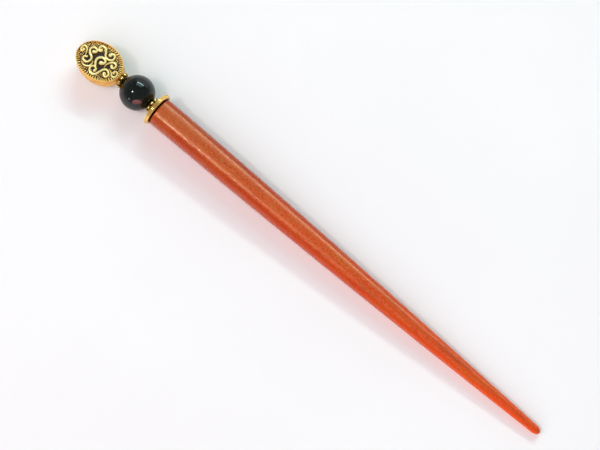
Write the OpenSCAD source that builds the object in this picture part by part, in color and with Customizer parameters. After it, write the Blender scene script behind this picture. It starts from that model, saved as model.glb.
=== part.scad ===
// Decorative hair pin: a tapered resin shaft topped with beads threaded on a head pin.
// The pin lies along X: the origin is the centre of the shaft's flat top end, +X runs to the
// tip, and the faces of the oval bead look along +Z and -Z. Millimetres.

/* [Shaft] */
// Length of the shaft, from its flat top to its rounded tip
shaft_len = 134.4; // [100:0.2:160]
// Diameter at the flat top
shaft_top_d = 8.1; // [6:0.1:9]
// Diameter just before the rounded tip
shaft_tip_d = 2.4; // [2:0.1:4]
// How late the taper comes: 1 is a plain cone, 2 stays full for longer
taper_power = 1.65; // [1:0.05:2.5]
// Length of the rounded end of the tip
tip_round = 1.9; // [1:0.1:4]
// Radius that breaks the edge of the flat top
top_edge_r = 0.3; // [0.1:0.05:0.6]

/* [Head pin] */
// Wire diameter
wire_d = 0.8; // [0.6:0.05:0.9]
// Diameter of the pin's head
head_d = 1.7; // [1.5:0.1:2.6]
// Thickness of the pin's head
head_t = 0.4; // [0.4:0.1:1.2]
// How far the wire reaches into the shaft
wire_grip = 12; // [6:1:20]
// Slight lean of the wire beyond the ball, in degrees
wire_lean = 5.5; // [0:0.5:6]
// Diameter of the blind hole in the shaft
glue_hole_d = 1.2; // [1.1:0.1:2]

/* [Beads] */
// Diameter of the stone ball
ball_d = 10; // [8:0.5:12]
// Bore of the ball, spacers, collar and oval bead
bead_bore_d = 0.95; // [0.95:0.05:1.0]
// Outer diameter of a granulated spacer
spacer_d = 4.8; // [4:0.1:5.4]
// Diameter of one granule
granule_d = 1.2; // [1:0.05:1.3]
// Granules round a spacer
granule_count = 9; // [7:1:10]
// Thickness of a spacer's plain core
core_t = 0.9; // [0.6:0.05:1]

/* [Collar] */
// Diameter of the collar's rim
collar_d = 9.9; // [8.5:0.1:11]
// Thickness of the rim
rim_t = 1.15; // [0.8:0.05:1.5]
// Diameter of the boss that stands on the shaft
boss_d = 5.0; // [3:0.1:6]
// Height of that boss, which leaves a shadow gap above the shaft
boss_h = 0.4; // [0.2:0.05:0.6]
// Diameter of the hub on the bead side
hub_d = 2.2; // [1.8:0.1:2.3]
// Height of that hub
hub_h = 0.6; // [0.4:0.05:0.9]

/* [Oval bead] */
// Length along the pin
oval_len = 14.2; // [12:0.1:17]
// Width across the pin
oval_w = 10.7; // [9:0.1:13]
// Thickness at the middle of the crowned faces
oval_t = 5.8; // [4.6:0.1:6.4]
// Thickness at the edge, which is the height of the side wall
oval_edge_t = 4.8; // [3.6:0.1:5]
// Width of the raised border round each face
border_w = 0.55; // [0.4:0.05:0.9]
// How far the scrollwork's ground lies below the border
ground_depth = 0.3; // [0.15:0.05:0.5]
// Angle between the bead's length and its bore, because the bead sits a little crooked
bore_skew = 2.0; // [0:0.5:6]
// How far the bore runs beside the bead's middle
bore_offset = 0.35; // [0:0.05:0.5]

/* [Fits] */
// End play between neighbours that turn on the wire
end_gap = 0.05; // [0.03:0.01:0.1]

/* [Hidden] */

round_fn = 96;
small_fn = 48;
taper_steps = 24;
arc_steps = 8;
oval_steps = 72;
glue_depth = wire_grip + 1;
half_core = core_t / 2;
granule_r = granule_d / 2;
granule_ring_r = spacer_d / 2 - granule_r;
ball_r = ball_d / 2;

// Places along X, worked from the shaft's top towards the head
collar_x = -end_gap;
hub_face_x = collar_x - boss_h - rim_t - hub_h;
lower_spacer_x = hub_face_x - end_gap - half_core;
ball_x = lower_spacer_x - half_core - end_gap - ball_r;
upper_spacer_x = ball_x - ball_r - end_gap - half_core;
oval_end_x = upper_spacer_x - granule_r - end_gap;
oval_x = oval_end_x - oval_len / 2;
head_x = oval_x - oval_len / 2 - end_gap;
// Where the wire leans: the head side of the ball, where the kink is a little fuller
lean_x = ball_x - ball_r;
kink_d = wire_d + 0.06;

// Radius of the shaft at a distance t (0 to 1) along its taper
function taper_r(t) = (shaft_top_d - (shaft_top_d - shaft_tip_d) * pow(t, taper_power)) / 2;
// Points of a quarter-ellipse arc from angle a to angle b
function arc_points(cx, cy, rx, ry, a, b, n) =
    [for (i = [0 : n]) [cx + rx * cos(a + (b - a) * i / n), cy + ry * sin(a + (b - a) * i / n)]];
// Radius of the sphere that crowns a face by rise over half the length
function crown_r(rise) = (pow(oval_len / 2, 2) + rise * rise) / (2 * rise);
function ellipse_points(a, b, n) = [for (i = [0 : n - 1]) [a * cos(360 * i / n), b * sin(360 * i / n)]];

// Turns a profile drawn as [radius, height] about the X axis
module along_x() {
    rotate([0, 90, 0])
        rotate_extrude($fn = round_fn)
            children();
}

// Leans whatever is threaded on the wire beyond the ball
module leaning() {
    translate([lean_x, 0, 0])
        rotate([0, 0, wire_lean])
            translate([-lean_x, 0, 0])
                children();
}

module bore_x(d, from_x, to_x) {
    translate([from_x, 0, 0])
        rotate([0, 90, 0])
            cylinder(d = d, h = to_x - from_x, $fn = small_fn);
}

// Tapered stick with a blind hole for the wire in its flat top
module shaft() {
    taper_len = shaft_len - tip_round;
    body = concat(
        [[0, 0]],
        arc_points(taper_r(0) - top_edge_r, top_edge_r, top_edge_r, top_edge_r, -90, 0, 4),
        [for (i = [1 : taper_steps]) [taper_r(i / taper_steps), taper_len * i / taper_steps]],
        [for (i = [1 : arc_steps - 1])
            [taper_r(1) * cos(90 * i / arc_steps), taper_len + tip_round * sin(90 * i / arc_steps)]],
        [[0, shaft_len]]
    );
    color("orangered")
        difference() {
            along_x()
                polygon(body);
            bore_x(glue_hole_d, -1, glue_depth);
        }
}

// Cured glue that fills the blind hole round the wire
module adhesive() {
    color("lightgoldenrodyellow")
        difference() {
            bore_x(glue_hole_d, 0, glue_depth);
            bore_x(wire_d, -1, wire_grip);
        }
}

// Wire with a domed head, which holds the beads on the shaft; it leans from the ball on
module head_pin() {
    dome = concat([[0, 0]], arc_points(0, head_t, head_d / 2, head_t, -80, 0, arc_steps),
                  [[0, head_t]]);
    color("darkgoldenrod") {
        bore_x(wire_d, lean_x, wire_grip);
        translate([lean_x, 0, 0])
            sphere(d = kink_d, $fn = small_fn);
        leaning() {
            bore_x(wire_d, head_x - head_t / 2, lean_x);
            translate([head_x - head_t, 0, 0])
                along_x()
                    polygon(dome);
        }
    }
}

// Thick disc with a rounded rim, a boss on the shaft and a hub under the spacer
module collar() {
    edge_r = rim_t * 0.42;
    rim_r = collar_d / 2;
    rim_lo = -boss_h - rim_t;
    profile = concat(
        [[0, rim_lo - hub_h], [hub_d / 2, rim_lo - hub_h], [hub_d / 2, rim_lo]],
        arc_points(rim_r - edge_r, rim_lo + edge_r, edge_r, edge_r, -90, 0, arc_steps),
        arc_points(rim_r - edge_r, -boss_h - edge_r, edge_r, edge_r, 0, 90, arc_steps),
        [[boss_d / 2, -boss_h], [boss_d / 2, 0], [0, 0]]
    );
    color("gold")
        difference() {
            translate([collar_x, 0, 0])
                along_x()
                    polygon(profile);
            bore_x(bead_bore_d, hub_face_x - 1, 1);
        }
}

// Ring of granules on a plain bored core
module spacer(x) {
    core_d = 2 * granule_ring_r + granule_r * 0.5;
    color("goldenrod")
        difference() {
            union() {
                bore_x(core_d, x - half_core, x + half_core);
                for (i = [0 : granule_count - 1])
                    rotate([360 * i / granule_count, 0, 0])
                        translate([x, 0, granule_ring_r])
                            sphere(d = granule_d, $fn = small_fn);
            }
            bore_x(bead_bore_d, x - 2, x + 2);
        }
}

module lower_spacer() {
    spacer(lower_spacer_x);
}

module upper_spacer() {
    leaning()
        spacer(upper_spacer_x);
}

// Round bored bead
module stone_ball() {
    color("darkslategray")
        difference() {
            translate([ball_x, 0, 0])
                sphere(d = ball_d, $fn = round_fn);
            bore_x(bead_bore_d, ball_x - ball_d, ball_x + ball_d);
        }
}

// Everything within a crowned top and bottom, lowered by drop from the bead's own faces
module crowned(drop) {
    half_t = oval_t / 2 - drop;
    face_r = crown_r((oval_t - oval_edge_t) / 2);
    intersection() {
        translate([0, 0, half_t - face_r])
            sphere(r = face_r, $fn = round_fn);
        translate([0, 0, face_r - half_t])
            sphere(r = face_r, $fn = round_fn);
    }
}

module oval_slab(inset) {
    linear_extrude(height = oval_t * 2, center = true)
        polygon(ellipse_points(oval_len / 2 - inset, oval_w / 2 - inset, oval_steps));
}

// Body with its raised borders; the ground inside the border lies lower on both faces
module oval_body() {
    intersection() {
        oval_slab(0);
        crowned(ground_depth);
    }
    intersection() {
        difference() {
            oval_slab(0);
            oval_slab(border_w);
        }
        crowned(0);
    }
}

module oval_bead() {
    color("darkkhaki")
        leaning()
            difference() {
                translate([oval_x, bore_offset, 0])
                    rotate([0, 0, bore_skew])
                        oval_body();
                bore_x(bead_bore_d, oval_x - oval_len, oval_x + oval_len);
            }
}

shaft();
adhesive();
head_pin();
collar();
lower_spacer();
stone_ball();
upper_spacer();
oval_bead();
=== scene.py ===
"""Looks of the decorative hair pin: a tapered resin stick with gold beads and a stone ball on a wire.

Sizes are in millimetres, and MM turns them into Blender's metres. The pin lies along X, with the oval
bead at its low end and the shaft's tip at its high end.
"""

import math

import bmesh
import bpy
import numpy as np
from mathutils import Matrix, Vector


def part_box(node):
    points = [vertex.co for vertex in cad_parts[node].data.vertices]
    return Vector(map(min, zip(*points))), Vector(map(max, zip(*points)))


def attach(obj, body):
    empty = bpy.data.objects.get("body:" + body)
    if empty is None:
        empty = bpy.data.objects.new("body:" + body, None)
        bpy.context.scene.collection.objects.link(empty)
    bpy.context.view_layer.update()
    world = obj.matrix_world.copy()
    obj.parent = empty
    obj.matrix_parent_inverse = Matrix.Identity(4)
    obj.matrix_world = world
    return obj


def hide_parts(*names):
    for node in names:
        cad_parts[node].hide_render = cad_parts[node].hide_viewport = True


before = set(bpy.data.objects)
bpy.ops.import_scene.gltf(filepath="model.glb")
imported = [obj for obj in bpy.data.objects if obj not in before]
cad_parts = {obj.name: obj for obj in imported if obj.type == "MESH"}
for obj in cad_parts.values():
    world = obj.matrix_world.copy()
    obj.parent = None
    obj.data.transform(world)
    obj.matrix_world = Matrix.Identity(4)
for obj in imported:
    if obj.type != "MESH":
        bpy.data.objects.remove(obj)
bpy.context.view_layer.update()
rng = np.random.default_rng(7)

MM = 0.001
TAU = 2 * math.pi


def node_span(node):
    """Lowest and highest corner of a CAD node, in millimetres."""
    low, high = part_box(node)
    return np.array(low) / MM, np.array(high) / MM


# ---------------------------------------------------------------- sizes taken from the frame
BALL_LOW, BALL_HIGH = node_span("stone_ball")
BALL_R = (BALL_HIGH[0] - BALL_LOW[0]) / 2
BALL_X = (BALL_LOW[0] + BALL_HIGH[0]) / 2
SHAFT_LEN, SHAFT_TOP_R = node_span("shaft")[1][:2]
BOSS_FACE_X, RIM_R = node_span("collar")[1][:2]
WIRE_END = node_span("head_pin")[1][0]

# ---------------------------------------------------------------- driving sizes
END_GAP = 0.05
BORE_R = 0.475
WIRE_R = 0.4
HEAD_R, HEAD_T = 0.85, 0.4

TIP_R, TIP_ROUND = 1.2, 1.9
TAPER_POWER = 1.65
TOP_EDGE_R = 0.3
GLUE_HOLE_R, GLUE_HOLE_DEPTH = 0.6, 13.0
# Added to the power 2 of a round section at the shaft's top, which makes it a little squarish there.
SQUARENESS = 0.6

RIM_T = 1.15
BOSS_R, BOSS_H = 2.5, 0.4
HUB_R, HUB_H = 1.1, 0.6

GRANULES = 9
GRANULE_R, GRANULE_RING_R = 0.6, 1.8
CORE_HALF = 0.45

OVAL_LEN, OVAL_W = 14.2, 10.7
OVAL_T, OVAL_EDGE_T = 5.8, 4.8
OVAL_SKEW, OVAL_OFFSET = math.radians(2.0), 0.35

# The wire leans from the ball's head side on, and takes the upper spacer and the oval bead with it.
LEAN = math.radians(5.5)
LEAN_X = BALL_X - BALL_R

# Places along X
LOWER_SPACER_X = BALL_X + BALL_R + (END_GAP + CORE_HALF)
UPPER_SPACER_X = LEAN_X - (END_GAP + CORE_HALF)
OVAL_X = UPPER_SPACER_X - (GRANULE_R + END_GAP) - OVAL_LEN / 2
HEAD_X = OVAL_X - OVAL_LEN / 2 - END_GAP


# ---------------------------------------------------------------- mesh helpers
def make_piece(name, vertices, faces):
    """A smooth-shaded mesh object from points in millimetres."""
    mesh = bpy.data.meshes.new(name)
    mesh.from_pydata((np.asarray(vertices) * MM).tolist(), [], faces)
    work = bmesh.new()
    work.from_mesh(mesh)
    bmesh.ops.recalc_face_normals(work, faces=work.faces)
    work.to_mesh(mesh)
    work.free()
    mesh.shade_smooth()
    piece = bpy.data.objects.new(name, mesh)
    bpy.context.scene.collection.objects.link(piece)
    return piece


def lathe(profile, sides):
    """Vertices and faces of a profile of (x, radius) points turned about X.

    A radius of 0 makes a pole. A profile with no pole at either end is closed on itself, which makes a
    bored piece."""
    vertices, rings = [], []
    for x, radius in profile:
        if radius < 1e-6:
            rings.append([len(vertices)] * sides)
            vertices.append((x, 0.0, 0.0))
            continue
        rings.append(list(range(len(vertices), len(vertices) + sides)))
        for k in range(sides):
            angle = TAU * k / sides
            vertices.append((x, radius * math.cos(angle), radius * math.sin(angle)))
    pairs = list(zip(rings, rings[1:]))
    if profile[0][1] > 1e-6 and profile[-1][1] > 1e-6:
        pairs.append((rings[-1], rings[0]))
    faces = []
    for first, second in pairs:
        for k in range(sides):
            corners = [first[k], first[(k + 1) % sides], second[(k + 1) % sides], second[k]]
            unique = list(dict.fromkeys(corners))
            if len(unique) > 2:
                faces.append(unique)
    return vertices, faces


def arc(cx, cy, rx, ry, start, stop, steps):
    """Points of an elliptical arc, angles in degrees."""
    angles = np.radians(np.linspace(start, stop, steps + 1))
    return [(cx + rx * math.cos(a), cy + ry * math.sin(a)) for a in angles]


def line(start, stop, steps):
    """Evenly spaced points from start up to, but not including, stop."""
    return [
        (start[0] + (stop[0] - start[0]) * i / steps, start[1] + (stop[1] - start[1]) * i / steps)
        for i in range(steps)
    ]


def leaned(points):
    """Points beyond the ball, turned with the leaning part of the wire."""
    points = np.array(points, float)
    x, y = points[:, 0] - LEAN_X, points[:, 1]
    points[:, 0] = LEAN_X + x * math.cos(LEAN) - y * math.sin(LEAN)
    points[:, 1] = x * math.sin(LEAN) + y * math.cos(LEAN)
    return points


def apply_modifiers(piece):
    """Turns the piece's modifiers into its mesh."""
    bpy.context.view_layer.update()
    graph = bpy.context.evaluated_depsgraph_get()
    mesh = bpy.data.meshes.new_from_object(piece.evaluated_get(graph))
    piece.modifiers.clear()
    piece.data = mesh
    mesh.shade_smooth()


def join_shells(*shells):
    """One list of vertices and faces from several (vertices, faces) shells."""
    vertices, faces = [], []
    for some_vertices, some_faces in shells:
        base = len(vertices)
        vertices.extend(some_vertices)
        faces.extend([[base + i for i in face] for face in some_faces])
    return vertices, faces


def store_tarnish_and_light(piece, values):
    """Keeps each vertex's tarnish and painted light: about 0.3 on plain gold, 1 in a hollow and in painted
    shade, and below 0 on crests worn bright, which is wear and a painted highlight.
    """
    attribute = piece.data.attributes.new("tarnish_and_painted_light", "FLOAT", "POINT")
    attribute.data.foreach_set("value", np.asarray(values, dtype=np.float32))


# ---------------------------------------------------------------- material helpers
class Shader:
    """A node material with a Principled shader and short calls to add nodes to it."""

    def __init__(self, name, **sockets):
        self.material = bpy.data.materials.new(name)
        self.material.use_nodes = True
        self.tree = self.material.node_tree
        self.surface = self.tree.nodes["Principled BSDF"]
        for socket, value in sockets.items():
            self.surface.inputs[socket.replace("_", " ")].default_value = value
        coordinates = self.add("ShaderNodeTexCoord")
        scale = self.add("ShaderNodeMapping")
        scale.inputs["Scale"].default_value = (1 / MM, 1 / MM, 1 / MM)
        self.link(coordinates.outputs["Object"], scale.inputs["Vector"])
        self.place = scale.outputs["Vector"]

    def add(self, kind, **settings):
        node = self.tree.nodes.new(kind)
        for key, value in settings.items():
            setattr(node, key, value)
        return node

    def link(self, output, target):
        self.tree.links.new(output, target)

    def set(self, socket, value):
        """Links a value to one of the Principled shader's own sockets."""
        self.link(value, self.surface.inputs[socket])

    def stretched(self, x, y, z):
        """The place in millimetres, scaled by a different amount along each axis."""
        node = self.add("ShaderNodeMapping")
        node.inputs["Scale"].default_value = (x, y, z)
        self.link(self.place, node.inputs["Vector"])
        return node.outputs["Vector"]

    def noise(self, scale, detail=3.0, roughness=0.5, distortion=0.0, place=None):
        node = self.add("ShaderNodeTexNoise")
        node.inputs["Scale"].default_value = scale
        node.inputs["Detail"].default_value = detail
        node.inputs["Roughness"].default_value = roughness
        node.inputs["Distortion"].default_value = distortion
        self.link(place or self.place, node.inputs["Vector"])
        return node.outputs["Fac"]

    def cells(self, scale):
        """Distance to the nearest of many scattered points."""
        node = self.add("ShaderNodeTexVoronoi")
        node.inputs["Scale"].default_value = scale
        self.link(self.place, node.inputs["Vector"])
        return node.outputs["Distance"]

    def span(self, value, low, high, to_low=0.0, to_high=1.0):
        """Carries the range low to high over to to_low to to_high, and stops at its ends."""
        node = self.add("ShaderNodeMapRange")
        node.inputs["From Min"].default_value = low
        node.inputs["From Max"].default_value = high
        node.inputs["To Min"].default_value = to_low
        node.inputs["To Max"].default_value = to_high
        self.link(value, node.inputs["Value"])
        return node.outputs["Result"]

    def ramp(self, value, *stops):
        """Colour that follows (position, colour) stops."""
        node = self.add("ShaderNodeValToRGB")
        points = node.color_ramp.elements
        while len(points) < len(stops):
            points.new(0.5)
        for point, (position, colour) in zip(points, stops):
            point.position = position
            point.color = (*colour, 1.0)
        self.link(value, node.inputs["Fac"])
        return node.outputs["Color"]

    def fade(self, value, *stops):
        """Number that follows (position, level) stops."""
        return self.ramp(value, *[(position, (level,) * 3) for position, level in stops])

    def mix(self, factor, first, second):
        """Mixes two colours; each of the three may be a socket."""
        node = self.add("ShaderNodeMix", data_type="RGBA")
        for value, target in ((factor, 0), (first, 6), (second, 7)):
            if isinstance(value, bpy.types.NodeSocket):
                self.link(value, node.inputs[target])
            else:
                node.inputs[target].default_value = (*value, 1.0)
        return node.outputs[2]

    def math(self, operation, first, second=0.0):
        """One sum on two numbers; the first is a socket, and the second may be."""
        node = self.add("ShaderNodeMath", operation=operation)
        self.link(first, node.inputs[0])
        if isinstance(second, bpy.types.NodeSocket):
            self.link(second, node.inputs[1])
        else:
            node.inputs[1].default_value = second
        return node.outputs[0]

    def attribute(self, name):
        node = self.add("ShaderNodeAttribute", attribute_name=name)
        return node.outputs["Fac"]

    def along(self, axis):
        """One coordinate of the place, in millimetres."""
        node = self.add("ShaderNodeSeparateXYZ")
        self.link(self.place, node.inputs[0])
        return node.outputs[axis]

    def distance_to(self, point):
        node = self.add("ShaderNodeVectorMath", operation="DISTANCE")
        self.link(self.place, node.inputs[0])
        node.inputs[1].default_value = point
        return node.outputs["Value"]

    def distance_in_blob(self, centre, turn, radii):
        """Distance from the centre of an ellipsoid turned about Z, where 1 is its surface."""
        blob = self.add("ShaderNodeMapping", vector_type="TEXTURE")
        blob.inputs["Location"].default_value = centre
        blob.inputs["Rotation"].default_value = (0.0, 0.0, turn)
        blob.inputs["Scale"].default_value = radii
        self.link(self.place, blob.inputs["Vector"])
        node = self.add("ShaderNodeVectorMath", operation="LENGTH")
        self.link(blob.outputs["Vector"], node.inputs[0])
        return node.outputs["Value"]

    def bump(self, height, depth_mm, strength):
        node = self.add("ShaderNodeBump")
        node.inputs["Strength"].default_value = strength
        node.inputs["Distance"].default_value = depth_mm * MM
        self.link(height, node.inputs["Height"])
        self.link(node.outputs["Normal"], self.surface.inputs["Normal"])


# ---------------------------------------------------------------- materials
def resin_material():
    """Satin orange-red resin with fine golden mica, browner and more speckled towards the beads, with a
    painted golden sheen on the flat faces and painted shade and glow on the sides.
    """
    s = Shader(
        "orange_red_resin",
        IOR=1.45,
        Specular_Tint=(0.50, 0.90, 0.72, 1.0),
        Subsurface_Weight=0.30,
        Subsurface_Scale=0.0025,
        Subsurface_Radius=(1.0, 0.20, 0.05),
    )
    along = s.span(s.along(0), 0.0, SHAFT_LEN)
    y, z = s.along(1), s.along(2)
    radius = s.math("SQRT", s.math("ADD", s.math("POWER", y, 2.0), s.math("POWER", z, 2.0)))
    # The faces up and down get more mica, which paints a golden sheen where light falls on them.
    flats_painted_light = s.span(s.math("DIVIDE", s.math("ABSOLUTE", z), radius), 0.78, 0.93)
    flats_painted_colour = s.ramp(
        along,
        (0.0, (0.48, 0.039, 0.002)),
        (0.35, (0.61, 0.043, 0.001)),
        (1.0, (0.70, 0.050, 0.001)),
    )
    # The sides are painted darker than the flat faces near the beads, as painted shade, and lighter near
    # the tip, as painted glow.
    sides_painted_shade_and_glow = s.ramp(
        along,
        (0.0, (0.42, 0.034, 0.002)),
        (0.35, (0.52, 0.038, 0.001)),
        (1.0, (0.86, 0.082, 0.001)),
    )
    body = s.mix(flats_painted_light, sides_painted_shade_and_glow, flats_painted_colour)
    streaks = s.noise(0.5, 4.0, 0.6, 0.6, s.stretched(0.15, 1.0, 1.0))
    body = s.mix(s.span(streaks, 0.50, 0.75, 0.0, 0.5), body, (0.50, 0.115, 0.010))
    body = s.mix(s.span(streaks, 0.46, 0.28, 0.0, 0.6), body, (0.33, 0.030, 0.005))
    flakes = s.noise(4.0, 3.0, 0.7, 0.0, s.stretched(0.35, 1.0, 1.0))
    thinning = s.fade(along, (0.0, 0.34), (0.9, 0.16))
    # The share of mica follows the flat faces, so part of it is a painted sheen.
    mica_and_sheen_share = s.math("MULTIPLY", s.span(flats_painted_light, 0.0, 1.0, 0.22, 1.0), thinning)
    mica = s.math("MULTIPLY", s.span(flakes, 0.32, 0.72), mica_and_sheen_share)
    s.set("Base Color", s.mix(mica, body, (0.64, 0.43, 0.14)))
    s.set("Metallic", mica)
    satin = s.span(s.noise(1.5, 3.0, 0.7), 0.40, 0.60, 0.08, 0.30)
    s.set("Roughness", s.math("ADD", satin, s.span(mica, 0.03, 0.30, 0.0, 0.40)))
    grain = s.math("MULTIPLY", s.cells(2.6), s.fade(along, (0.0, 0.9), (0.5, 0.15)))
    s.bump(s.math("ADD", s.noise(1.9, 4.0, 0.8), grain), 0.040, 0.5)
    return s.material


def plated(name, bright, deep, metallic=1.0):
    """Start of a gold plate in two tones with fine pits: its shader, colour, patches and pits."""
    s = Shader(name, Metallic=metallic)
    patches = s.noise(0.8, 4.0, 0.55)
    pits = s.noise(5.0, 3.0, 0.6)
    s.bump(pits, 0.015, 0.3)
    return s, s.mix(s.span(patches, 0.35, 0.7, 0.0, 0.7), bright, deep), patches, pits


def tarnished_gold_with_painted_light(name, bright, deep, roughness, metallic=1.0):
    """Gold that the tarnish_and_painted_light attribute makes pale on crests, as wear and a painted
    highlight, and brown to black in hollows, as tarnish, and in painted shade.
    """
    s, colour, patches, _ = plated(name, bright, deep, metallic)
    mask = s.math("ADD", s.attribute("tarnish_and_painted_light"), s.span(patches, 0.3, 0.7, -0.08, 0.08))
    # Pale on crests: wear, and a painted highlight.
    colour = s.mix(s.span(mask, -0.06, -0.22), colour, (1.0, 0.93, 0.42))
    colour = s.mix(s.span(mask, 0.14, 0.34), colour, deep)
    # Brown to near black: tarnish in hollows, and painted shade on the collar's shaft side.
    colour = s.mix(s.span(mask, 0.38, 0.56), colour, (0.25, 0.080, 0.010))
    colour = s.mix(s.span(mask, 0.56, 0.78), colour, (0.014, 0.007, 0.002))
    s.set("Base Color", colour)
    s.set("Metallic", s.span(mask, 0.60, 0.85, metallic, 0.25))
    s.set("Roughness", s.span(mask, 0.1, 0.8, roughness, 0.62))
    return s.material


def wire_material():
    """Dull, worn gold wire."""
    s, colour, _, pits = plated("dull_gold_wire", (0.55, 0.34, 0.14), (0.34, 0.18, 0.06))
    s.set("Base Color", colour)
    s.set("Roughness", s.span(pits, 0.3, 0.7, 0.28, 0.42))
    return s.material


def stone_material():
    """Polished near-black green stone with a dull pink patch, a small painted highlight, a few flecks, and
    a painted reflection in lighter grey towards the bottom.
    """
    s = Shader("dark_green_stone", IOR=1.46)
    body = s.ramp(
        s.noise(0.28, 4.0, 0.55, 0.5),
        (0.30, (0.003, 0.004, 0.004)),
        (0.55, (0.005, 0.008, 0.007)),
        (0.75, (0.012, 0.020, 0.018)),
    )
    # Lighter grey towards the bottom: a painted reflection.
    body = s.mix(s.span(s.along(2), -1.0, -4.8), body, (0.030, 0.032, 0.030))
    # A dull pink patch on the upper side.
    far = s.distance_in_blob((BALL_X + 2.4, -2.6, 3.6), math.radians(40.7), (1.25, 0.60, 1.2))
    ragged = s.math("ADD", far, s.span(s.noise(1.2, 4.0, 0.6), 0.3, 0.7, -0.25, 0.25))
    pink_patch = s.mix(s.span(s.noise(1.8, 3.0, 0.6), 0.35, 0.65), (0.17, 0.050, 0.052), (0.24, 0.10, 0.10))
    body = s.mix(s.span(ragged, 1.15, 0.75), body, pink_patch)
    flecks = s.span(s.noise(1.5, 2.0, 0.5), 0.72, 0.76, 0.0, 0.7)
    body = s.mix(flecks, body, (0.10, 0.045, 0.035))
    # A small grey painted highlight beside the pink patch.
    painted_highlight_dot = s.span(s.distance_to((BALL_X + 0.3, -3.4, 3.65)), 0.32, 0.22, 0.0, 0.8)
    s.set("Base Color", s.mix(painted_highlight_dot, body, (0.16, 0.16, 0.16)))
    s.set("Roughness", s.span(s.noise(3.0), 0.3, 0.7, 0.045, 0.10))
    return s.material


def adhesive_material():
    """Clear amber glue with small bubbles."""
    s = Shader("amber_adhesive", IOR=1.5, Subsurface_Weight=0.3, Subsurface_Scale=0.001)
    bubbles = s.span(s.cells(3.0), 0.10, 0.16)
    s.set("Base Color", s.mix(bubbles, (0.92, 0.85, 0.66), (0.70, 0.50, 0.22)))
    s.set("Roughness", s.span(s.noise(2.0), 0.3, 0.7, 0.12, 0.30))
    return s.material


def floor_material():
    """Plain pale paper-like surface."""
    s = Shader("pale_floor", Roughness=0.75)
    tone = s.noise(0.012, 2.0, 0.5)
    s.set("Base Color", s.ramp(tone, (0.3, (0.91, 0.89, 0.895)), (0.7, (0.94, 0.925, 0.93))))
    s.bump(s.noise(0.6, 3.0, 0.6), 0.02, 0.2)
    return s.material


# ---------------------------------------------------------------- shaft and head pin
def shaft_profile():
    """Blind hole, flat top with a broken edge, late taper and rounded tip."""
    taper_len = SHAFT_LEN - TIP_ROUND
    hole_end = (GLUE_HOLE_DEPTH, GLUE_HOLE_R)
    hole_mouth = (0.0, GLUE_HOLE_R)
    profile = [(GLUE_HOLE_DEPTH, 0.0)] + line(hole_end, hole_mouth, 12)
    profile += line(hole_mouth, (0.0, SHAFT_TOP_R - TOP_EDGE_R), 5)
    profile += arc(TOP_EDGE_R, SHAFT_TOP_R - TOP_EDGE_R, TOP_EDGE_R, TOP_EDGE_R, 180, 90, 8)
    steps = 200
    for i in range(1, steps + 1):
        t = i / steps
        if t * taper_len > TOP_EDGE_R:
            profile.append((t * taper_len, SHAFT_TOP_R - (SHAFT_TOP_R - TIP_R) * t**TAPER_POWER))
    profile += arc(taper_len, 0.0, TIP_ROUND, TIP_R, 90, 0, 16)[1:-1]
    profile.append((SHAFT_LEN, 0.0))
    return profile


def build_shaft():
    """Tapered stick with a round hole, a little squarish at its top and rounder towards the tip."""
    vertices, faces = lathe(shaft_profile(), 96)
    points = np.array(vertices)
    x = points[:, 0]
    angle = np.arctan2(points[:, 2], points[:, 1])
    wave = (
        np.sin(x * 0.19 + 1.0) * np.cos(angle - 0.4)
        + 0.6 * np.sin(x * 0.43 + 2.0) * np.cos(2 * angle + 1.0)
        + 0.4 * np.sin(x * 0.97) * np.cos(3 * angle)
    )
    power = 2 + SQUARENESS * (1 - x / SHAFT_LEN) ** 0.5
    square = (np.abs(np.cos(angle)) ** power + np.abs(np.sin(angle)) ** power) ** (-1 / power)
    # What lies within hole_rim of the hole's wall stays round.
    hole_rim = 0.1
    clear_of_hole = np.hypot(points[:, 1], points[:, 2]) - GLUE_HOLE_R - hole_rim
    share = np.clip(clear_of_hole / (SHAFT_TOP_R - GLUE_HOLE_R), 0, 1) ** 0.3
    uneven = 0.996 - 0.002 * wave
    scale = 1 + share * (square * uneven - 1)
    points[:, 1:] *= scale[:, None]
    return make_piece("tapered_shaft", points, faces)


def build_head_pin():
    """Wire with a domed head, straight in the shaft and leaning from the ball on."""
    edge_r, fillet_r, end_r = 0.12, 0.08, 0.15
    profile = [(HEAD_X - HEAD_T, 0.0)]
    profile += arc(HEAD_X - edge_r, 0.0, HEAD_T - edge_r, HEAD_R, 180, 90, 16)[1:]
    profile += arc(HEAD_X - edge_r, HEAD_R - edge_r, edge_r, edge_r, 90, 0, 5)[1:]
    profile += line((HEAD_X, HEAD_R - edge_r), (HEAD_X, WIRE_R + fillet_r), 4)[1:]
    profile += arc(HEAD_X + fillet_r, WIRE_R + fillet_r, fillet_r, fillet_r, 180, 270, 4)
    profile += line((HEAD_X + fillet_r, WIRE_R), (LEAN_X, WIRE_R), 40)[1:]
    profile += line((LEAN_X, WIRE_R), (WIRE_END - end_r, WIRE_R), 50)
    profile += arc(WIRE_END - end_r, WIRE_R - end_r, end_r, end_r, 90, 0, 4)
    profile.append((WIRE_END, 0.0))
    vertices, faces = lathe(profile, 48)
    points = np.array(vertices)
    points = np.where(points[:, :1] < LEAN_X - 0.01, leaned(points), points)
    return make_piece("pin_wire_and_head", points, faces)


# ---------------------------------------------------------------- collar, ball and spacers
RIM_HIGH = BOSS_FACE_X - BOSS_H
RIM_LOW = RIM_HIGH - RIM_T


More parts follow.
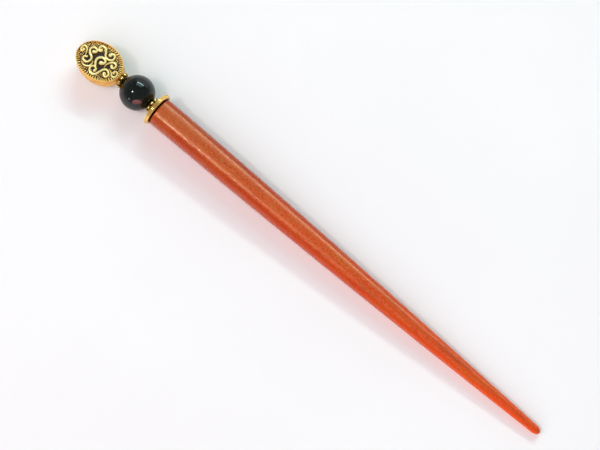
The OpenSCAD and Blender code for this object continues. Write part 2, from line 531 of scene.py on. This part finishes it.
def collar_profile():
    """Bore, hub, bead side with a fine ring, rim with a shallow channel between two lips, and boss."""
    low = RIM_LOW - HUB_H
    soft = 0.06
    lip_r = 0.38
    # Angle in degrees at which a lip's round ends and the channel begins
    lip_end = 75
    ring_r, ring_half, ring_rise = RIM_R - 1.25, 0.2, 0.10
    profile = line((BOSS_FACE_X, BORE_R), (low, BORE_R), 10)
    profile += line((low, BORE_R), (low, HUB_R - soft), 4)
    profile += arc(low + soft, HUB_R - soft, soft, soft, 180, 90, 4)
    profile += line((low + soft, HUB_R), (RIM_LOW - soft, HUB_R), 4)[1:]
    profile += arc(RIM_LOW - soft, HUB_R + soft, soft, soft, 270, 360, 4)
    profile += line((RIM_LOW, HUB_R + soft), (RIM_LOW, ring_r - ring_half), 8)[1:]
    profile += arc(RIM_LOW, ring_r, ring_rise, ring_half, -90, 90, 8)
    profile += line((RIM_LOW, ring_r + ring_half), (RIM_LOW, RIM_R - lip_r), 5)[1:]
    profile += arc(RIM_LOW + lip_r, RIM_R - lip_r, lip_r, lip_r, 180, lip_end, 10)
    channel_low = profile[-1][0]
    channel_high = 2 * (RIM_LOW + RIM_T / 2) - channel_low
    channel_r, channel_depth, steps = RIM_R - 0.013, 0.07, 12
    for i in range(1, steps):
        t = i / steps
        dip = channel_depth * math.sin(math.pi * t) ** 1.2
        profile.append((channel_low + (channel_high - channel_low) * t, channel_r - dip))
    profile += arc(RIM_HIGH - lip_r, RIM_R - lip_r, lip_r, lip_r, 180 - lip_end, 0, 10)
    profile += line((RIM_HIGH, RIM_R - lip_r), (RIM_HIGH, BOSS_R + soft), 8)[1:]
    profile += arc(RIM_HIGH + soft, BOSS_R + soft, soft, soft, 180, 270, 4)
    profile += line((RIM_HIGH + soft, BOSS_R), (BOSS_FACE_X - soft, BOSS_R), 3)[1:]
    profile += arc(BOSS_FACE_X - soft, BOSS_R - soft, soft, soft, 90, 0, 4)
    profile += line((BOSS_FACE_X, BOSS_R - soft), (BOSS_FACE_X, BORE_R), 6)[1:]
    return profile


def build_collar():
    """Thick polished disc, tarnished in the rim's channel, painted near black inside the rim on its shaft
    side as painted shade, and darkened inside the rim on its bead side as tarnish and painted shade.
    """
    vertices, faces = lathe(collar_profile(), 128)
    piece = make_piece("gold_collar", vertices, faces)
    points = np.array(vertices)
    x = points[:, 0]
    radial = np.hypot(points[:, 1], points[:, 2])
    # Inside the rim on the shaft side the face is painted near black: painted shade where it lies against
    # the shaft.
    shaft_side_painted_shade = np.clip((RIM_R - 0.60 - radial) / 0.12, 0, 1) * 0.72
    # Inside the rim on the bead side the face is darker: tarnish, and painted shade towards the ball.
    bead_side_tarnish_and_shade = (x < RIM_LOW + 0.1) * np.clip((RIM_R - 0.45 - radial) / 0.5, 0, 1) * 0.45
    turn = np.arctan2(points[:, 1], points[:, 2])
    patchy = 0.47 + 0.07 * np.sin(3 * turn + 1.0) + 0.05 * np.sin(7 * turn)
    near_middle = np.clip(1.4 - np.abs(x - RIM_LOW - RIM_T / 2) / 0.15, 0, 1)
    channel = near_middle * (radial > RIM_R - 0.3) * patchy
    store_tarnish_and_light(piece, np.where(x > RIM_HIGH - 0.12, shaft_side_painted_shade, np.maximum(bead_side_tarnish_and_shade, channel)))
    return piece


def build_ball():
    """Polished bored ball with softened bore mouths."""
    mouth = 0.12
    reach = math.sqrt(BALL_R**2 - (BORE_R + mouth) ** 2)
    start = math.degrees(math.atan2(BORE_R + mouth, reach))
    bore_reach = reach - mouth
    profile = arc(BALL_X, 0.0, BALL_R, BALL_R, 180 - start, start, 96)
    profile += line((BALL_X + bore_reach, BORE_R), (BALL_X - bore_reach, BORE_R), 16)
    profile.append((BALL_X - bore_reach, BORE_R))
    return make_piece("stone_ball_polished", *lathe(profile, 160))


def granule(x, angle, radius):
    """One round granule of a spacer, as a closed shell."""
    profile = [(x - radius, 0.0)] + arc(x, 0.0, radius, radius, 180, 0, 20)[1:-1] + [(x + radius, 0.0)]
    vertices, faces = lathe(profile, 28)
    points = np.array(vertices)
    y, z = points[:, 1].copy(), points[:, 2] + GRANULE_RING_R
    points[:, 1] = math.cos(angle) * y - math.sin(angle) * z
    points[:, 2] = math.sin(angle) * y + math.cos(angle) * z
    return points.tolist(), faces


def build_spacer(name, x, leaning):
    """Ring of granules fused to a bored core, as cast, tarnished between the granules and at the bore."""
    core = [
        (x - CORE_HALF, BORE_R),
        (x - CORE_HALF, GRANULE_RING_R),
        (x, GRANULE_RING_R + 0.12),
        (x + CORE_HALF, GRANULE_RING_R),
        (x + CORE_HALF, BORE_R),
    ]
    shells = [lathe(core, 96)]
    for i in range(GRANULES):
        wobble = min(1 + 0.03 * math.sin(i * 2.4), 1.0)
        shells.append(granule(x, TAU * i / GRANULES, GRANULE_R * wobble))
    piece = make_piece(name, *join_shells(*shells))
    remesh = piece.modifiers.new("fuse", "REMESH")
    remesh.mode = "VOXEL"
    remesh.voxel_size = 0.05 * MM
    smooth = piece.modifiers.new("cast", "SMOOTH")
    smooth.factor = 0.5
    smooth.iterations = 3
    apply_modifiers(piece)
    points = np.zeros(len(piece.data.vertices) * 3)
    piece.data.vertices.foreach_get("co", points)
    points = points.reshape(-1, 3) / MM
    radial = np.hypot(points[:, 1], points[:, 2])
    turn = np.arctan2(points[:, 1], points[:, 2])
    between = 0.5 - 0.5 * np.cos(turn * GRANULES)
    inner = np.clip((1.75 - radial) / 0.5, 0, 1)
    from_crest = np.hypot(points[:, 0] - x, radial - GRANULE_RING_R) / GRANULE_R
    dip = np.clip((0.95 - from_crest) / 0.25, 0, 1)
    tarnish = 0.05 + 0.62 * np.maximum(dip, between**3 * 0.5) + 0.38 * inner
    store_tarnish_and_light(piece, np.clip(tarnish, 0, 0.70))
    if leaning:
        piece.data.vertices.foreach_set("co", (leaned(points) * MM).reshape(-1))
        piece.data.update()
    return piece


# ---------------------------------------------------------------- oval bead
# Each scroll is a few (x, y, radius) points on the face: x towards the tip, y to the left of it.
SCROLLS = (
    # hook beside the head pin
    ((-5.5, 0.5, 0.38), (-5.6, -0.1, 0.27), (-6.1, -0.1, 0.25), (-6.4, 0.7, 0.26), (-6.1, 1.4, 0.28),
     (-5.4, 1.5, 0.27), (-4.7, 0.9, 0.22), (-4.4, 0.1, 0.18), (-4.2, -0.7, 0.10)),
    # large S
    ((-2.8, 1.3, 0.48), (-2.1, 1.6, 0.28), (-2.3, 2.2, 0.29), (-3.0, 2.5, 0.30), (-3.6, 2.3, 0.31),
     (-4.0, 1.6, 0.32), (-3.8, 0.9, 0.32), (-3.3, 0.3, 0.34), (-2.6, -0.1, 0.34), (-2.2, -0.7, 0.32),
     (-2.3, -1.5, 0.31), (-2.8, -2.1, 0.30), (-3.5, -2.2, 0.30), (-4.2, -1.9, 0.28), (-4.3, -1.2, 0.28),
     (-3.6, -0.8, 0.30)),
    # crescent outside the S
    ((-4.1, -2.8, 0.10), (-3.4, -3.2, 0.20), (-2.5, -3.2, 0.24), (-1.6, -2.7, 0.24), (-1.3, -1.7, 0.19),
     (-1.5, -1.0, 0.10)),
    # wave along the upper edge
    ((-1.3, 2.7, 0.48), (-1.7, 2.4, 0.29), (-2.1, 3.1, 0.29), (-1.9, 3.8, 0.30), (-1.2, 4.0, 0.30),
     (-0.5, 3.8, 0.30), (0.1, 3.0, 0.30), (0.5, 2.2, 0.30), (1.1, 1.7, 0.30), (1.9, 1.6, 0.30),
     (2.6, 1.9, 0.30), (3.0, 2.5, 0.30), (2.9, 3.2, 0.29), (2.4, 3.6, 0.27), (1.8, 3.5, 0.29),
     (1.6, 2.9, 0.50)),
    # centre curl
    ((0.7, -0.3, 0.56), (1.4, 0.0, 0.34), (1.5, 0.7, 0.34), (0.9, 1.2, 0.34), (0.2, 1.2, 0.35),
     (-0.5, 0.8, 0.35), (-0.9, 0.0, 0.35), (-0.7, -0.9, 0.34), (-0.3, -1.5, 0.30), (-0.1, -1.9, 0.25)),
    # lower S
    ((0.4, -3.0, 0.41), (0.5, -2.4, 0.27), (-0.2, -2.0, 0.28), (-0.9, -2.3, 0.29), (-1.1, -3.0, 0.30),
     (-0.7, -3.8, 0.32), (0.1, -4.1, 0.33), (0.9, -3.9, 0.33), (1.4, -3.3, 0.32), (1.8, -2.4, 0.31),
     (2.2, -1.6, 0.30), (2.8, -1.1, 0.29), (3.5, -1.1, 0.29), (4.1, -1.6, 0.29), (4.3, -2.2, 0.28),
     (3.9, -2.8, 0.28), (3.3, -2.8, 0.29), (3.1, -2.3, 0.48)),
    # curl near the spacer, upper side
    ((2.1, -0.8, 0.10), (2.2, 0.2, 0.19), (2.7, 1.0, 0.27), (3.3, 1.6, 0.29), (4.1, 1.7, 0.29),
     (4.6, 1.3, 0.28), (4.5, 0.5, 0.28), (4.0, 0.2, 0.29), (3.6, 0.6, 0.44)),
    # small curl next to the spacer
    ((3.5, -0.5, 0.10), (4.2, -0.8, 0.18), (4.7, -1.2, 0.22), (5.1, -1.7, 0.25), (5.7, -1.7, 0.25),
     (6.2, -1.2, 0.25), (6.2, -0.6, 0.25), (5.9, -0.1, 0.23), (5.3, -0.1, 0.23), (5.1, -0.7, 0.34)),
)
GROUND_DEPTH = 0.45
SCROLL_RISE = 0.55
SCROLL_FULLNESS = 1.08
BORDER_W, BORDER_RISE = 0.30, 0.12
STROKES, STROKE_RISE = 58, 0.27
DOT_PITCH, DOT_R, DOT_RISE = 0.54, 0.21, 0.22
FACE_EDGE_R = 0.25
FACE_CELLS = 200
# Odd, so that no ring of the side wall lies in the plane z = 0, where the drill has corners of its own.
WALL_STEPS = 21


def smooth_path(points, steps):
    """Catmull-Rom curve through the points."""
    points = np.array(points, float)
    padded = np.vstack([2 * points[0] - points[1], points, 2 * points[-1] - points[-2]])
    t = np.linspace(0, 1, steps, endpoint=False)[:, None]
    curve = []
    for a, b, c, d in zip(padded, padded[1:], padded[2:], padded[3:]):
        slope = (c - a) * t
        bend = (2 * a - 5 * b + 4 * c - d) * t**2
        twist = (3 * b - a - 3 * c + d) * t**3
        curve.append(0.5 * (2 * b + slope + bend + twist))
    return np.vstack(curve + [points[-1:]])


def scroll_relief(x, y):
    """Height of the scrollwork above the ground, for arrays of places; wider strokes stand higher."""
    height = np.zeros_like(x)
    for scroll in SCROLLS:
        for px, py, radius in smooth_path(scroll, 10):
            near = ((x - px) ** 2 + (y - py) ** 2) / (radius * SCROLL_FULLNESS) ** 2
            dome = np.sqrt(np.clip(1 - near**1.3, 0, 1)) * (0.60 + 1.05 * radius)
            height = np.maximum(height, dome)
    return height * SCROLL_RISE


def dot_relief(x, y, inset):
    """Height of the small raised dots on the ground, which get lower away from the border."""
    height = np.zeros_like(x)
    columns = int(OVAL_LEN / DOT_PITCH)
    rows = int(OVAL_W / DOT_PITCH)
    for i in range(columns + 1):
        for j in range(rows + 1):
            px = -OVAL_LEN / 2 + i * DOT_PITCH + rng.uniform(-0.10, 0.10)
            py = -OVAL_W / 2 + j * DOT_PITCH + rng.uniform(-0.10, 0.10)
            radius = DOT_R * rng.uniform(0.7, 1.1)
            close = ((x - px) ** 2 + (y - py) ** 2) / radius**2
            height = np.maximum(height, np.sqrt(np.clip(1 - close, 0, 1)) * DOT_RISE)
    return height * np.clip(1.15 - np.maximum(inset - 1.6, 0) / 1.6, 0.35, 1)


def border_relief(inset):
    """Height of the rounded border that runs along the face's edge."""
    centre = BORDER_W * 0.5
    bead = np.sqrt(np.clip(1 - ((inset - centre) / centre) ** 2, 0, 1)) * BORDER_RISE
    return np.where(inset < BORDER_W, bead + GROUND_DEPTH * 0.60, 0.0)


def stroke_comb(unit_x, unit_y):
    """Strokes that point inwards from the border, 0 between them and 1 on them, unevenly spaced."""
    angle = np.arctan2(unit_y, unit_x)
    wander = 0.9 * np.sin(angle * 7 + 1.0) + 0.7 * np.sin(angle * 11 + 4.0)
    return np.clip(0.5 + 0.9 * np.cos(angle * STROKES + wander), 0, 1)


def disc_grid(count):
    """Places in a unit disc as a (count + 1) square grid with even cells."""
    side = np.linspace(-1, 1, count + 1)
    a, b = np.meshgrid(side, side, indexing="ij")
    wide = np.abs(a) > np.abs(b)
    safe_a = np.where(np.abs(a) < 1e-12, 1e-12, a)
    safe_b = np.where(np.abs(b) < 1e-12, 1e-12, b)
    radius = np.where(wide, a, b)
    angle = np.where(wide, math.pi / 4 * (b / safe_a), math.pi / 2 - math.pi / 4 * (a / safe_b))
    return radius * np.cos(angle), radius * np.sin(angle)


def blurred(grid, times):
    """Averages each place with its neighbours, times over."""
    for _ in range(times):
        padded = np.pad(grid, 1, mode="edge")
        beside = padded[:-2, 1:-1] + padded[2:, 1:-1] + padded[1:-1, :-2] + padded[1:-1, 2:]
        grid = (beside + 2 * grid) / 6
    return grid


def edge_rounding(inset):
    """How far the face drops next to its edge."""
    away = np.clip(FACE_EDGE_R - inset, 0, FACE_EDGE_R)
    return FACE_EDGE_R - np.sqrt(np.clip(FACE_EDGE_R**2 - away**2, 0, None))


def face_tarnish_and_highlight(relief, inset, unit_y, comb, dotted):
    """Values of a face for tarnish and painted light: dark in hollows, paler near the border on the
    left-hand side and among the dots, and below 0 on crests worn bright, as wear and a painted highlight.
    """
    hollow = blurred(relief, 12) - relief
    # Paler near the border on the left-hand side and among the dots.
    paler_left_border = (0.24 * np.clip(1.5 * unit_y, 0, 1) + 0.14 * dotted) * np.clip(2.2 - inset, 0, 1)
    # Crests go below 0, worn bright: wear, and a painted highlight.
    crest_wear_and_highlight = 0.22 * np.clip((relief - 0.36) / 0.10, 0, 1)
    inside = np.clip(0.98 + hollow / 0.30 - relief / 0.26 - paler_left_border, 0, 1) - crest_wear_and_highlight
    on_border = 0.28 + 0.22 * (1 - comb) * (1 - dotted) * (inset > 0.20)
    return np.where(inset < BORDER_W, on_border, inside)


def oval_face():
    """Grid of one face: x, y, height above the middle plane, and tarnish and painted light value."""
    half_len, half_w = OVAL_LEN / 2, OVAL_W / 2
    unit_x, unit_y = disc_grid(FACE_CELLS)
    x, y = unit_x * half_len, unit_y * half_w
    reach = np.hypot(unit_x, unit_y)
    # Distance in from the edge, measured along the line to the centre
    slope = np.sqrt((half_w * unit_x) ** 2 + (half_len * unit_y) ** 2 + 1e-9)
    inset = (1 - reach) * (half_len * half_w) / slope * np.maximum(reach, 1e-6)
    crown = OVAL_EDGE_T / 2 + (OVAL_T - OVAL_EDGE_T) / 2 * (1 - (x**2 + y**2) / half_len**2)
    # Towards the corner beside the head pin, dots take the place of the strokes.
    dotted = np.clip(1.2 * (unit_y - unit_x) / np.maximum(reach, 1e-6) - 0.5, 0, 1)
    comb = stroke_comb(unit_x, unit_y)
    band = np.clip((inset - 0.10) / 0.15, 0, 1) * np.clip((1.15 - inset) / 0.45, 0, 1)
    strokes = band * comb * STROKE_RISE * (1 - dotted)
    dots = dot_relief(x, y, inset) * (inset > 0.95 - 0.60 * dotted)
    scroll = scroll_relief(x, y) * np.clip((inset - 0.30) / 0.25, 0, 1)
    relief = blurred(np.maximum.reduce([scroll, border_relief(inset), strokes, dots]), 1)
    height = crown - GROUND_DEPTH + relief - edge_rounding(inset)
    return x, y, height, face_tarnish_and_highlight(relief, inset, unit_y, comb, dotted)


def oval_wall(upper, lower):
    """Rings of the slightly uneven side wall between the two faces' edges, and their tarnish values."""
    rings, shades = [], []
    waves = rng.normal(0, 1, (8, 3))
    for step in range(1, WALL_STEPS):
        t = step / WALL_STEPS
        ring = upper * (1 - t) + lower * t
        angle = np.arctan2(ring[:, 1] / OVAL_W, ring[:, 0] / OVAL_LEN)
        ripple = sum(
            a * np.sin((k + 2) * angle + 3 * b + c * t) for k, (a, b, c) in enumerate(waves)
        ) * 0.006
        bulge = -0.10 * (abs(2 * t - 1) ** 3) + ripple * math.sin(math.pi * t)
        outward = ring[:, :2] / np.linalg.norm(ring[:, :2], axis=1)[:, None]
        ring[:, :2] += outward * bulge[:, None]
        stain = np.sin(5 * angle + 3 * t) + np.sin(11 * angle + 1.3 + 5 * t)
        stain += np.sin(18 * angle + 2.0 - 7 * t)
        rings.append(ring)
        shades.append(0.35 + 0.9 * ripple + 0.035 * stain)
    return rings, shades


def drill_oval(piece):
    """Cuts the bore, which runs along the leaning wire."""
    reach = OVAL_LEN / 2 + 1
    low, high = OVAL_X - reach, OVAL_X + reach
    vertices, faces = lathe([(low, 0.0), (low, BORE_R), (high, BORE_R), (high, 0.0)], 48)
    drill = make_piece("drill", leaned(vertices), faces)
    cut = piece.modifiers.new("bore", "BOOLEAN")
    cut.operation = "DIFFERENCE"
    cut.solver = "EXACT"
    cut.object = drill
    apply_modifiers(piece)
    bpy.data.objects.remove(drill)


def build_oval():
    """Cast oval bead: scrollwork in relief on both faces, a plain side wall, and a bore for the wire."""
    x, y, height, tarnish_and_painted_light = oval_face()
    top = np.stack([x, y, height], axis=-1).reshape(-1, 3)
    bottom = np.stack([x, -y, -height], axis=-1).reshape(-1, 3)
    index = np.arange(x.size).reshape(x.shape)
    corners = [index[:-1, :-1], index[1:, :-1], index[1:, 1:], index[:-1, 1:]]
    quads = np.stack(corners, axis=-1).reshape(-1, 4)
    edge = np.concatenate([index[0, :-1], index[:-1, -1], index[-1, :0:-1], index[:0:-1, 0]])
    # The bottom is the top turned over, so the point below a place is found across the grid.
    below = index[:, ::-1].reshape(-1)[edge]
    wall, wall_shades = oval_wall(top[edge], bottom[below])
    around = len(edge)
    first_wall_point = 2 * x.size
    rings = [edge]
    rings += [np.arange(around) + first_wall_point + i * around for i in range(len(wall))]
    rings.append(below + x.size)
    faces = quads.tolist() + (quads[:, ::-1] + x.size).tolist()
    for first, second in zip(rings, rings[1:]):
        strip = [first, np.roll(first, -1), np.roll(second, -1), second]
        faces += np.stack(strip, axis=-1).tolist()
    points = np.vstack([top, bottom] + wall)
    across, over, up = points.T
    c, s = math.cos(OVAL_SKEW), math.sin(OVAL_SKEW)
    skewed = np.stack([OVAL_X + c * across - s * over, OVAL_OFFSET + s * across + c * over, up], axis=-1)
    piece = make_piece("oval_scroll_bead", leaned(skewed), faces)
    store_tarnish_and_light(piece, np.concatenate([tarnish_and_painted_light.reshape(-1), tarnish_and_painted_light.reshape(-1)] + wall_shades))
    drill_oval(piece)
    return piece


# ---------------------------------------------------------------- build and dress the pieces
antique_gold = tarnished_gold_with_painted_light("antique_gold", (1.0, 0.84, 0.30), (0.92, 0.46, 0.06), 0.34, metallic=0.32)
spacer_gold = tarnished_gold_with_painted_light("spacer_gold", (1.0, 0.76, 0.28), (0.84, 0.46, 0.10), 0.24)
bright_gold = tarnished_gold_with_painted_light("bright_gold", (1.0, 0.74, 0.24), (1.0, 0.48, 0.08), 0.13, metallic=0.80)

# Each row: piece, CAD node, body, material slot, material
PIECES = (
    (build_shaft(), "shaft", "shaft_and_pin", "resin", resin_material()),
    (build_head_pin(), "head_pin", "shaft_and_pin", "wire", wire_material()),
    (build_collar(), "collar", "collar", "bright_gold", bright_gold),
    (build_spacer("granulated_spacer_lower", LOWER_SPACER_X, False), "lower_spacer", "lower_spacer",
     "antique_gold", spacer_gold),
    (build_ball(), "stone_ball", "stone_ball", "stone", stone_material()),
    (build_spacer("granulated_spacer_upper", UPPER_SPACER_X, True), "upper_spacer", "upper_spacer",
     "antique_gold", spacer_gold),
    (build_oval(), "oval_bead", "oval_bead", "antique_gold", antique_gold),
)
for piece, node, body, slot, material in PIECES:
    piece.data.materials.clear()
    piece.data.materials.append(material)
    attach(piece, body)
    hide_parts(node)

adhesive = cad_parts["adhesive"]
adhesive.data.materials.clear()
adhesive.data.materials.append(adhesive_material())

# ---------------------------------------------------------------- floor, camera and lights
# The pin rests on its ball and its tip, so the floor leans by the difference in their radii.
FLOOR_TILT = math.asin((BALL_R - TIP_R) / (SHAFT_LEN - TIP_ROUND - BALL_X))
FLOOR_UP = Vector((-math.sin(FLOOR_TILT), 0, math.cos(FLOOR_TILT)))
FLOOR_POINT = Vector((BALL_X, 0, 0)) * MM - FLOOR_UP * BALL_R * MM

# The camera looks at AIM from DISTANCE metres away.
AIM = Vector((49.2, 1.8, -3.5)) * MM
DISTANCE = 0.5444
TOWARDS_CAMERA = Vector((0.1263, -0.1770, 0.9761)).normalized()
PICTURE_RIGHT = FLOOR_UP.cross(TOWARDS_CAMERA).normalized()
PICTURE_AWAY = FLOOR_UP.cross(PICTURE_RIGHT)
LIGHTS_AIM = Vector((30 * MM, 0, 0))


def placed(point, towards, up):
    """Matrix at a point whose -Z looks against `towards`, with its Y as near `up` as it can be."""
    right = up.cross(towards).normalized()
    turn = Matrix((right, towards.cross(right), towards)).transposed()
    return Matrix.Translation(point) @ turn.to_4x4()


def add_camera():
    data = bpy.data.cameras.new("camera")
    data.lens = 120
    data.sensor_width = 36
    data.clip_start = 0.01
    data.clip_end = 20
    camera = bpy.data.objects.new("camera", data)
    bpy.context.scene.collection.objects.link(camera)
    camera.matrix_world = placed(AIM + TOWARDS_CAMERA * DISTANCE, TOWARDS_CAMERA, FLOOR_UP)
    bpy.context.scene.camera = camera


def add_light(
    name, azimuth, elevation, distance, width, height, watts, colour, diffuse=True, glossy=True
):
    """Area light seen from the pin at an azimuth from the picture's right, turning away from the camera.

    diffuse=False makes a glint that shows only in reflections, and glossy=False a fill that never does."""
    a, e = math.radians(azimuth), math.radians(elevation)
    level = PICTURE_RIGHT * math.cos(a) + PICTURE_AWAY * math.sin(a)
    direction = level * math.cos(e) + FLOOR_UP * math.sin(e)
    data = bpy.data.lights.new(name, "AREA")
    data.shape = "RECTANGLE"
    data.size = width
    data.size_y = height
    data.energy = watts
    data.color = colour
    light = bpy.data.objects.new(name, data)
    light.visible_diffuse = diffuse
    light.visible_glossy = glossy
    bpy.context.scene.collection.objects.link(light)
    light.matrix_world = placed(LIGHTS_AIM + direction * distance, direction, FLOOR_UP)


def add_floor():
    bpy.ops.mesh.primitive_grid_add(x_subdivisions=8, y_subdivisions=8, size=6)
    floor = bpy.context.object
    floor.name = "pale_floor"
    floor.matrix_world = placed(FLOOR_POINT, FLOOR_UP, Vector((0, 1, 0)))
    floor.data.materials.append(floor_material())


def add_room_light():
    """Soft light from all round that is strongest at the horizon."""
    world = bpy.data.worlds.new("soft_room")
    world.use_nodes = True
    nodes, links = world.node_tree.nodes, world.node_tree.links
    background = nodes["Background"]
    background.inputs["Color"].default_value = (0.96, 0.95, 0.97, 1)
    place = nodes.new("ShaderNodeTexCoord")
    height = nodes.new("ShaderNodeSeparateXYZ")
    fade = nodes.new("ShaderNodeMapRange")
    fade.inputs["From Max"].default_value = 0.55
    fade.inputs["To Min"].default_value = 0.50
    fade.inputs["To Max"].default_value = 0.22
    links.new(place.outputs["Generated"], height.inputs[0])
    links.new(height.outputs["Z"], fade.inputs["Value"])
    links.new(fade.outputs["Result"], background.inputs["Strength"])
    bpy.context.scene.world = world


add_camera()
add_light("window", 66, 38, 1.2, 0.85, 0.13, 5.0, (0.74, 1.0, 0.96))
add_light("window_glint", 66, 38, 1.2, 0.85, 0.13, 2.6, (0.45, 1.0, 1.0), diffuse=False)
add_light("window_upper", 68, 51, 1.2, 0.75, 0.30, 1.8, (0.45, 0.93, 1.0))
add_light("window_sill", 60, 19, 1.2, 1.5, 0.42, 1.4, (0.95, 0.97, 1.0))
add_light("overhead_lamp", 194, 62, 1.0, 0.09, 0.09, 1.3, (1.0, 0.98, 0.92))
add_light("lamp_glint", 194, 62, 1.0, 0.10, 0.10, 3.2, (0.55, 0.97, 1.0), diffuse=False)
add_light("room_fill", 228, 52, 1.6, 2.4, 2.4, 26.5, (1.0, 0.83, 0.87), glossy=False)
add_floor()
add_room_light()
bpy.context.scene.view_settings.view_transform = "Standard"
